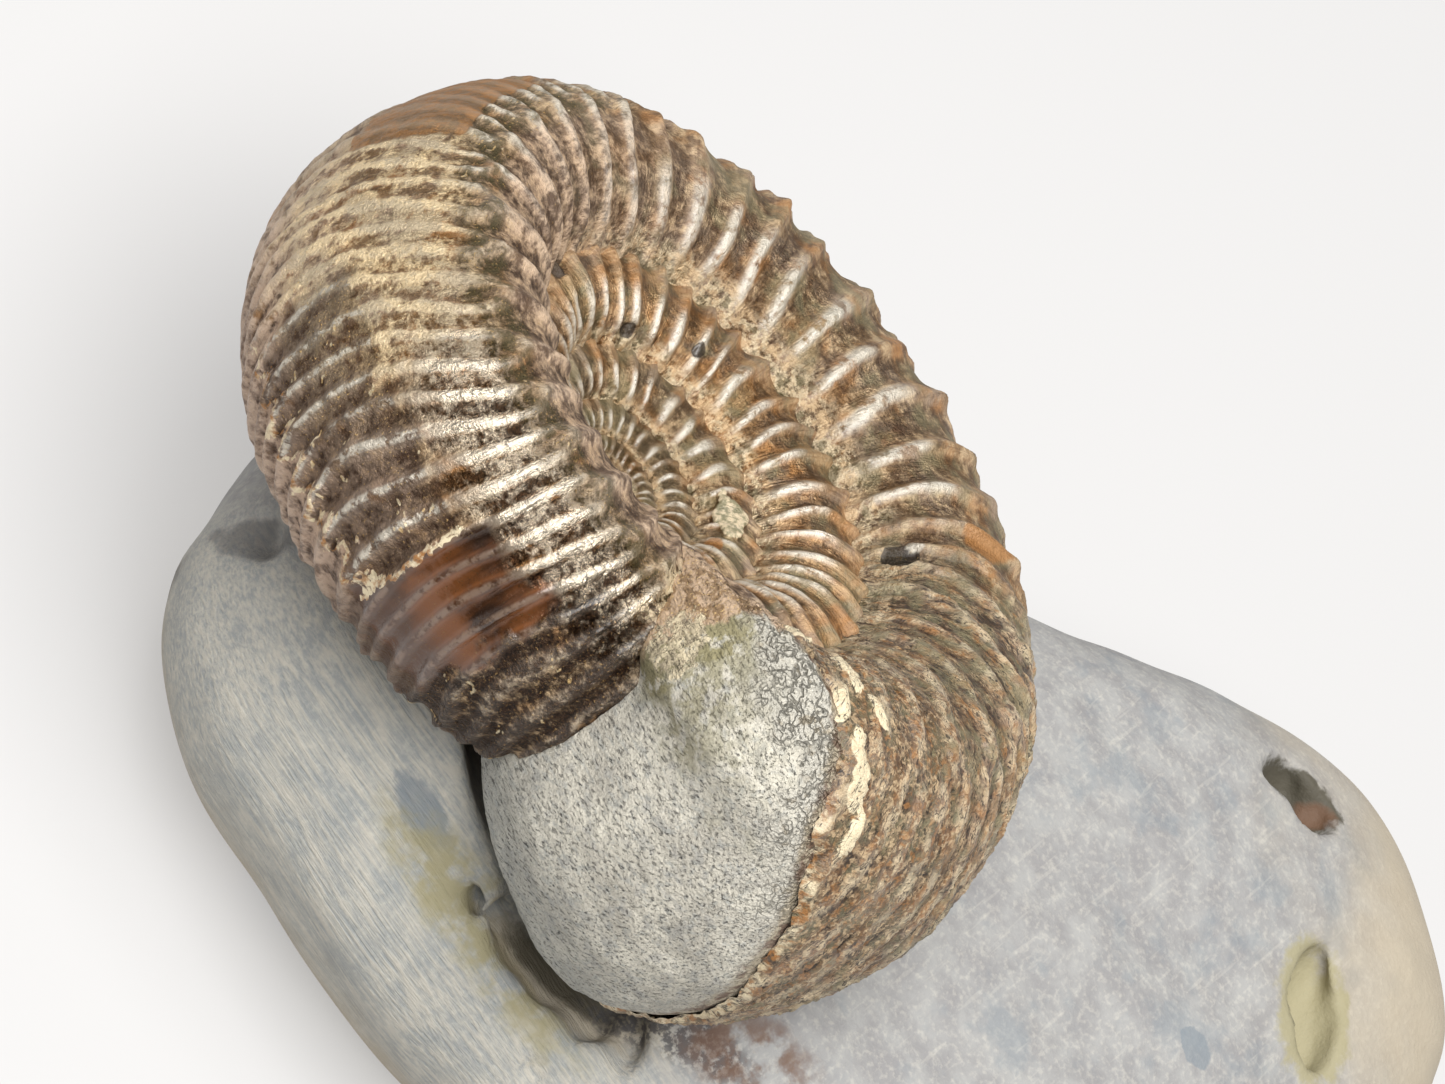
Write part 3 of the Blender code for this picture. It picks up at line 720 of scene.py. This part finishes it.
def fillMaterial():
    material, g, shader = newMaterial("chamber mudstone")
    _, a, share, spot = spots(g)
    p = stonePaint
    broad = g.noise(spot, 0.3, 3.0)
    patches = g.noise(spot, 1.1, 4.0, 0.62, seed=2.0)
    fine = g.noise(spot, 3.0, 4.0, 0.62, seed=4.0)
    grit = g.noise(spot, 7.5, 3.0, 0.65, seed=6.0)
    # short dark chisel dashes, all one way
    leaning = g.node("ShaderNodeVectorRotate", values={"Vector": spot, "Axis": (0.3, 0.2, 1.0), "Angle": 0.9})
    dash = g.vector("MULTIPLY", leaning, (1.5, 6.5, 6.5))
    dashes = g.rise(g.noise(dash, 1.0, 4.0, 0.65, seed=7.0), 0.55, 0.67)
    strokes = g.rise(g.noise(g.vector("MULTIPLY", leaning, (0.7, 2.8, 2.8)), 1.0, 3.0, 0.6, seed=9.0), 0.5, 0.66)
    layers = Layers(g, g.tint(g.rise(broad, 0.35, 0.65), p["pale"], p["warmGrey"]))
    layers.add(g.rise(patches, 0.5, 0.66) * 0.5, p["grey"])
    layers.add(g.rise(a, -10, -75) * 0.5, p["blue"])
    layers.add(strokes * 0.45, p["blue"])
    layers.add(dashes * (0.55 + strokes * 0.4), p["speck"])
    layers.add(g.rise(grit, 0.6, 0.68) * 0.4, p["speck"])
    mossy, silver, fromAxis = g.split(g.node("ShaderNodeAttribute", {"attribute_name": "zone0"}, out=1))
    layers.add(mossy * g.rise(patches, 0.36, 0.56), p["olive"])
    silver = g.math("MINIMUM", silver, 1.0)
    crease = g.rise(abs(g.noise(spot, 0.9, 2.0, seed=17.0) - 0.5), 0.035, 0.0)
    crease = g.math("MAXIMUM", crease, g.rise(abs(g.noise(spot, 1.3, 2.0, seed=19.0) - 0.5), 0.03, 0.0))
    layers.add(silver * g.rise(patches, 0.32, 0.48) * 0.85, p["silver"])
    layers.add(silver * crease * 0.5, p["darkOlive"])
    layers.add(silver * g.rise(patches, 0.56, 0.66) * 0.6, p["beige"])
    covered = g.rise(fromAxis, 19.3, 18.7) * g.rise(a, 30, 50)
    # cream crackled shell in the corner under the near whorl
    away = g.vector("DISTANCE", spot, (8.7, -17.6, 7.4), out=1) + (patches - 0.5) * 3
    corner = g.rise(away, 2.0, 1.7)
    scabs = g.tint(g.rise(patches, 0.42, 0.54), shellPaint["brown"], shellPaint["wall"])
    layers.add(covered * 0.95, g.tint(g.rise(grit, 0.58, 0.66), scabs, shellPaint["gold"]))
    jolt = g.vector("MULTIPLY", g.noise(spot, 1.5, 3.0, 0.6).other("Color"), (1.6, 1.6, 1.6))
    flakes = g.cells(g.vector("ADD", spot, jolt), 1.5, "DISTANCE_TO_EDGE")
    flakeTint = g.tint(g.rise(patches, 0.44, 0.56), shellPaint["cream"], p["beige"])
    flakeTint = g.tint(g.rise(flakes, 0.0, 0.05), p["darkOlive"], flakeTint)
    layers.add(corner * g.rise(fine, 0.34, 0.46) * 0.9, flakeTint)
    border = g.rise(share + (fine - 0.5) * 0.1, 0.10, 0.02)
    layers.add(border * 0.85, g.tint(g.rise(patches, 0.42, 0.56), p["rust"], p["beige"]))
    rough = 0.84 - silver * 0.45 + fine * 0.1
    relief = fine * 0.3 - dashes * 0.16 + grit * 0.12 - silver * crease * 0.2
    plug(g, shader, Base_Color=layers.colour, Roughness=rough, Metallic=silver * 0.4, Normal=bumped(g, relief))
    return material


# The nodule, modelled as a solid field and turned into a skin

nodule = {
    # outline at mid-height, from the coil's centre
    "outline": [
        (-12.5, -4), (-10.5, -13), (-4, -19.5), (8, -21), (22, -20.5), (37, -17), (50, -8), (59, 6), (62.5, 21),
        (60.5, 35), (54, 43), (44, 45.5), (33.5, 41), (23, 32.5), (12.4, 26.2), (2, 22.6), (-7, 17), (-12.5, 7),
    ],
    "fieldLow": (-34.5, -34.5, -2.0),  # corners of the block that the field fills
    "fieldHigh": (45.0, 36.0, 31.0),
    "midHeight": 11.0,
    "topRise": 8.5,
    "underDrop": 16.0,
    "frontRise": 9.5,
    "frontSpread": (17.0, 9.0),
    "frontCentre": (0.0, -9.0),
    "cell": 0.42,
    "ripples": [(0.22, 5.0, 3), (0.09, 1.6, 9)],  # depth, size and seed
    "blend": 0.5,  # softness of the edge where the coil is let in
    "groundEdge": 0.35,  # softness of the edge underneath
    "shellGap": 0.25,
    # the coil's room narrows past its broken end: bearing, degrees that it takes, share lost, power
    "narrowing": (122, 30, 0.36, 1.6),
    "fillReach": 156,  # bearing where the fill has met the near whorl
    "frontGap": 0.5,
    # middle from the coil's centre, half sizes, turn, softness of the rim
    "pits": [
        ((39.7, 36.8, -7.6), (3.3, 1.6, 2.6), 25, 0.5),
        ((49.8, 27.6, -8.7), (3.6, 2.3, 1.7), -41, 0.5),
        ((20.8, -13.6, -9.4), (6.0, 2.3, 1.9), 14, 2.0),
        ((24.1, -18.0, -10.6), (0.8, 0.7, 1.1), 0, 0.4),
        ((-8.2, -13.4, -9.5), (1.4, 1.2, 1.4), 0, 0.9),
    ],
}


def closedCurve(points, steps):
    p = np.array(points, float)
    t = np.linspace(0, len(p), steps, endpoint=False)
    i = t.astype(int)
    w = (t - i)[:, None]
    p0, p1, p2, p3 = (p[(i + k) % len(p)] for k in (-1, 0, 1, 2))
    bend = (2 * p0 - 5 * p1 + 4 * p2 - p3) * w ** 2 + (3 * p1 - p0 - 3 * p2 + p3) * w ** 3
    return (2 * p1 + (p2 - p0) * w + bend) / 2


def inMillimetres(field, cell):
    # scales a field whose zero is the surface so that it grows by about 1 for each mm
    slope = np.sqrt(sum(d ** 2 for d in np.gradient(field, cell)))
    return field / np.maximum(slope, 1e-4)


def smoothMin(first, second, blend):
    share = np.clip(0.5 + 0.5 * (second - first) / blend, 0, 1)
    return second + (first - second) * share - blend * share * (1 - share)


def ripple(x, y, z, size, seed, turns=6):
    # a sum of sine waves in fixed random directions
    dice = np.random.default_rng(seed)
    total = np.zeros_like(x)
    for _ in range(turns):
        kx, ky, kz = dice.normal(0, 1 / size, 3)
        total += np.sin(kx * x + ky * y + kz * z + dice.uniform(0, 6.28))
    return total / turns ** 0.5


def noduleField():
    n = nodule
    cx, cy, cz = coil["centre"]
    cell = n["cell"]
    low = np.array(n["fieldLow"])
    steps = [np.arange(a, b, cell) for a, b in zip(low, n["fieldHigh"])]
    x, y, z = np.meshgrid(*steps, indexing="ij")
    x, y = x - cx, y - cy
    # solid stone
    outline = closedCurve(n["outline"], 720)
    middle = outline.mean(0)
    rim = outline - middle
    rimAngle = np.arctan2(rim[:, 1], rim[:, 0])
    order = np.argsort(rimAngle)
    angle = np.arctan2(y - middle[1], x - middle[0])
    rimAt = np.interp(angle, rimAngle[order], np.hypot(*rim.T)[order], period=2 * math.pi)
    share = np.hypot(x - middle[0], y - middle[1]) / rimAt
    fx, fy = n["frontCentre"]
    sx, sy = n["frontSpread"]
    front = n["frontRise"] * np.exp(-(((x - fx) / sx) ** 2) - ((y - fy) / sy) ** 2)
    height = z - n["midHeight"]
    rise = np.where(height > 0, n["topRise"] + front, n["underDrop"])
    stone = inMillimetres(1 - share ** (2 / 0.62) - (height / rise) ** 2, cell)
    for depth, size, seed in n["ripples"]:
        stone = stone + depth * ripple(x, y, z, size, seed)
    # room for the coil, wider along the front where the stone was worked away
    t = coil["tilt"] * degree
    up = z - cz
    v = y * math.cos(t) - up * math.sin(t)
    w = y * math.sin(t) + up * math.cos(t)
    r = np.hypot(x, v)
    bearing = np.degrees(np.arctan2(x, v))
    bearing = np.where(bearing > n["fillReach"], bearing - 360, bearing)
    radius = venterRadius(np.minimum(bearing, coil["mouthBearing"]))
    start, over, lost, power = n["narrowing"]
    past = np.clip((bearing - start) / over, 0, 1)
    radius = radius * (1 - lost * past ** power)
    offset = r / radius - coil["sectionCentre"]
    outward = np.clip(offset / coil["outerReach"], 0, None)
    drum = 1 - outward ** coil["outerPower"] - np.abs(w / radius / coil["halfWidth"]) ** 2.0
    frontness = np.clip((-y - 8) / 8, 0, 1)
    gap = n["shellGap"] + (n["frontGap"] - n["shellGap"]) * frontness * np.clip((8 - x) / 12, 0, 1)
    room = inMillimetres(drum, cell) + gap + 0.12 * ripple(x, y, z, 1.2, 5)
    body = smoothMin(stone, -room, n["blend"])
    for (px, py, pz), (hx, hy, hz), turn, soft in n["pits"]:
        c, s = math.cos(turn * degree), math.sin(turn * degree)
        dx, dy, dz = x - px, y - py, z - cz - pz
        along = (dx * c + dy * s) / hx
        across = (dy * c - dx * s) / hy
        ball = np.sqrt(along ** 2 + across ** 2 + (dz / hz) ** 2)
        pit = (1 - ball) * min(hx, hy, hz) + 0.22 * ripple(x, y, z, 0.9, 7) * min(hx, 3) / 2
        body = smoothMin(body, -pit, soft)
    body = smoothMin(body, z, n["groundEdge"])  # ground flat underneath
    return body, low, cell


def makeNodule():
    body, low, cell = noduleField()
    grid = openvdb.FloatGrid(3.0)
    grid.gridClass = openvdb.GridClass.LEVEL_SET
    grid.copyFromArray(-np.clip(body, -3, 3).astype(np.float32))
    points, quads = grid.convertToQuads(isovalue=0.0)
    points = (points * cell + low) * mm
    mesh = bpy.data.meshes.new("mudstone_nodule")
    mesh.from_pydata(points.tolist(), [], quads[:, ::-1].tolist())
    # keep the largest body and drop crumbs
    bm = bmesh.new()
    bm.from_mesh(mesh)
    dropCrumbs(bm)
    bmesh.ops.recalc_face_normals(bm, faces=bm.faces)
    bm.to_mesh(mesh)
    bm.free()
    mesh.shade_smooth()
    piece = bpy.data.objects.new("mudstone_nodule", mesh)
    bpy.context.scene.collection.objects.link(piece)
    print(f"mudstone_nodule: {len(mesh.vertices)} points, {len(mesh.polygons)} faces")
    return piece


def dropCrumbs(bm):
    bm.verts.ensure_lookup_table()
    seen = set()
    groups = []
    for start in bm.verts:
        if start.index in seen:
            continue
        group, queue = [], [start]
        seen.add(start.index)
        while queue:
            vert = queue.pop()
            group.append(vert)
            for edge in vert.link_edges:
                other = edge.other_vert(vert)
                if other.index not in seen:
                    seen.add(other.index)
                    queue.append(other)
        groups.append(group)
    groups.sort(key=len)
    for group in groups[:-1]:
        bmesh.ops.delete(bm, geom=group, context="VERTS")


def noduleMaterial():
    material, g, shader = newMaterial("nodule mudstone")
    spot = g.vector("SCALE", g.node("ShaderNodeTexCoord", out=3))
    spot.socket.node.inputs["Scale"].default_value = 1000.0
    x, y, z = g.split(spot)
    p = stonePaint
    broad = g.noise(spot, 0.11, 3.0)
    clouds = g.noise(spot, 0.45, 4.0, 0.6, seed=3.0)
    fine = g.noise(spot, 2.5, 3.0, 0.6, seed=5.0)
    brush = g.noise(g.vector("MULTIPLY", spot, (0.3, 4.4, 4.4)), 1.0, 4.0, 0.65, seed=9.0)
    front = g.rise(y, -20, -27)
    layers = Layers(g, g.tint(g.rise(clouds, 0.3, 0.7), p["lavender"], p["grey"]))
    brushed = g.tint(g.rise(brush + (clouds - 0.5) * 0.5, 0.32, 0.68), p["blue"], p["warmGrey"])
    layers.add(front * 0.75, brushed)
    layers.add(g.rise(fine, 0.45, 0.75) * 0.22, p["pale"])
    stains = g.rise(g.noise(spot, 0.22, 4.0, 0.65, seed=13.0), 0.5, 0.66) * g.rise(y, -22, -8)
    layers.add(stains * 0.45, p["bluePatch"])
    scratch = g.noise(g.vector("MULTIPLY", spot, (2.6, 0.2, 2.6)), 1.0, 2.0, seed=15.0)
    layers.add(g.rise(scratch, 0.62, 0.7) * 0.1, p["pale"])
    rimHeat = g.rise(x + y + (broad - 0.5) * 30, 38, 62) * 0.75
    layers.add(rimHeat, p["beige"])
    low = g.rise(z + (clouds - 0.5) * 8, 9.5, 3.0) * 0.7
    layers.add(low, p["beige"])

    jag = (g.noise(spot, 0.9, 4.0, 0.6, seed=20.0) - 0.5) * 1.6

    def patch(px, py, hx, hy, edge=0.5, turn=0.0):
        c, s = math.cos(turn * degree), math.sin(turn * degree)
        dx, dy = x - px, y - py
        along = (dx * c + dy * s) / hx
        across = (dy * c - dx * s) / hy
        return g.rise(along * along + across * across + jag, 1 + edge, 1 - edge)

    layers.add(patch(-10.4, -28.0, 2.4, 0.7, 0.3) * 0.75, p["bluePatch"])
    layers.add(patch(27.2, 6.1, 1.3, 1.0, 0.15) * 0.7, p["bluePatch"])
    # painted shade: dark grey in the shadowed hollow beside the shell's left edge
    layers.add(patch(-27.7, -25.0, 1.5, 1.2, 0.5) * 0.6, p["shadeGrey"])
    layers.add(patch(-3.0, -28.4, 8.0, 1.7, 0.7, 4) * g.rise(clouds, 0.36, 0.56) * 0.9, p["olive"])
    layers.add(patch(1.6, -25.6, 6.0, 1.5, 0.5, 16) * 0.6, p["beige"])
    # dark olive painted shadow between the chamber fill and the olive groove below it
    layers.add(patch(1.5, -24.7, 4.6, 1.1, 0.7, 16) * 0.85, p["darkOlive"])
    # painted shade: dark grey in the undercut under the chamber fill
    layers.add(patch(8.0, -22.4, 4.5, 1.3, 0.7, 24) * g.rise(fine, 0.62, 0.44) * 0.85, p["shadeGrey"])
    # rust stain, painted darker to stand also for the shade along the shell's lower edge
    layers.add(patch(11.0, -20.0, 4.2, 2.2, 0.8, 30) * g.rise(clouds, 0.6, 0.42) * 0.8, p["rust"])
    # painted shade: dark olive over the first pit, whose floor shows rust
    layers.add(patch(20.3, 25.4, 3.2, 1.8, 0.25, 25) * 0.9, p["darkOlive"])
    layers.add(patch(22.0, 26.0, 1.2, 0.8, 0.5, 25) * 0.8, p["rust"])
    layers.add(patch(30.5, 15.7, 4.5, 3.0, 0.3, -41) * 0.85, p["olive"])
    rough = 0.62 + fine * 0.2
    relief = brush * 0.16 * front + fine * 0.07
    plug(g, shader, Base_Color=layers.colour, Roughness=rough, Normal=bumped(g, relief))
    return material


# Floor, lights and camera

studio = {
    "floor": paint(141, 140, 139),
    "floorGlow": 1.6,
    "floorReach": 4.0,  # metres each way
    "world": (0.96, 0.97, 1.0, 1.0),
    "darkSide": (0.16, 0.155, 0.15, 1.0),  # the room past the camera
    "worldStrength": 0.40,
    "lampWatts": 4.9,
    "lampSize": (0.44, 0.46),
    "lampPlace": (0.0, -0.11, 0.50),
    "lampAim": (-0.01, -0.02, 0.03),
    "focal": 124.57,
    "sensor": 36.0,
    "nearest": 0.01,  # metres from the camera
    "distance": 273.2,
    "towardCamera": (0.0, -0.602, 0.798),
    "cameraUp": (-0.820, 0.456, 0.345),
    "cameraRight": (0.572, 0.654, 0.495),
    "aimOffset": (6.86, -3.06),  # right and up of the coil's centre
}


def makeFloor():
    mesh = bpy.data.meshes.new("floor")
    far = studio["floorReach"]
    mesh.from_pydata([(-far, -far, 0), (far, -far, 0), (far, far, 0), (-far, far, 0)], [], [(0, 1, 2, 3)])
    floor = bpy.data.objects.new("floor", mesh)
    bpy.context.scene.collection.objects.link(floor)
    material, g, shader = newMaterial("pale floor")
    plug(g, shader, Base_Color=studio["floor"], Roughness=0.7, Emission_Color=studio["floor"])
    shader.inputs["Emission Strength"].default_value = studio["floorGlow"]
    mesh.materials.append(material)


def pointAt(thing, place, target, up=Vector((0, 0, 1))):
    back = (Vector(place) - Vector(target)).normalized()
    right = up.cross(back).normalized()
    turn = Matrix((right, back.cross(right), back)).transposed()
    thing.matrix_world = Matrix.Translation(place) @ turn.to_4x4()


def makeStudio():
    scene = bpy.context.scene
    world = bpy.data.worlds.new("studio")
    scene.world = world
    world.use_nodes = True
    g = Graph(world.node_tree)
    sky = world.node_tree.nodes["Background"]
    _, y, z = g.split(g.node("ShaderNodeTexCoord"))
    frontSide = g.rise(y, -0.25, -0.7) * g.rise(abs(z + 0.1), 0.75, 0.35)
    colour = g.tint(frontSide, studio["world"], studio["darkSide"])
    world.node_tree.links.new(colour.socket, sky.inputs["Color"])
    sky.inputs["Strength"].default_value = studio["worldStrength"]
    lamp = bpy.data.lights.new("soft box", "AREA")
    lamp.shape = "RECTANGLE"
    lamp.size, lamp.size_y = studio["lampSize"]
    lamp.energy = studio["lampWatts"]
    holder = bpy.data.objects.new("soft box", lamp)
    scene.collection.objects.link(holder)
    pointAt(holder, studio["lampPlace"], studio["lampAim"], Vector((0, 1, 0)))
    scene.view_settings.view_transform = "Standard"

    lens = bpy.data.cameras.new("camera")
    lens.lens = studio["focal"]
    lens.sensor_width = studio["sensor"]
    lens.clip_start = studio["nearest"]
    camera = bpy.data.objects.new("camera", lens)
    scene.collection.objects.link(camera)
    centre = Vector(coil["centre"]) * mm
    up = Vector(studio["cameraUp"])
    right = Vector(studio["cameraRight"])
    place = centre + Vector(studio["towardCamera"]) * studio["distance"] * mm
    aim = centre + (right * studio["aimOffset"][0] + up * studio["aimOffset"][1]) * mm
    pointAt(camera, place, aim, up)
    scene.camera = camera


# Putting it together

print("shell")
shellFinish = shellMaterial()
shellRule, shellSockets = shellTree()
aroundEnd = 150.0  # how far round the section the shell reaches, each way
nearStart, nearEnd = -230, -60  # bearings
innermost = 0.9
wholeWhorl = {"Around From": -aroundEnd, "Around To": aroundEnd, "Columns": 400, "Rows": 241}
pieces = {
    "near_whorl": {
        "Radius From": venterRadius(nearStart), "Radius To": venterRadius(nearEnd), "Broken": 0.0, **wholeWhorl,
    },
    "outer_whorl": {
        "Radius From": venterRadius(nearEnd), "Radius To": coil["mouthRadius"], "Broken": 1.0, **wholeWhorl,
    },
    "open_side_whorls": {
        "Radius From": innermost, "Radius To": venterRadius(nearStart), "Broken": 0.0,
        "Around From": 60.0, "Around To": aroundEnd, "Columns": 1290, "Rows": 73,
    },
    "buried_side_whorls": {
        "Radius From": innermost, "Radius To": venterRadius(nearStart), "Broken": 0.0,
        "Around From": -aroundEnd, "Around To": -60.0, "Columns": 700, "Rows": 37,
    },
}
fillRange = {
    "Bearing From": 112.0, "Bearing To": 160.0, "Around From": -135.0, "Around To": 149.0, "Columns": 230, "Rows": 260,
}
for name, values in pieces.items():
    piece = grow(name, shellRule, shellSockets, Finish=shellFinish, **values)
    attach(piece, "root")
    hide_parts("ammonite_shell")

print("chamber fill")
fillRule, fillSockets = fillTree()
stoneFill = grow("stone_fill", fillRule, fillSockets, Finish=fillMaterial(), **fillRange)
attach(stoneFill, "root")
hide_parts("chamber_fill")

print("nodule")
stone = makeNodule()
stone.data.materials.append(noduleMaterial())
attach(stone, "root")
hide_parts("nodule")

print("studio")
makeFloor()
makeStudio()
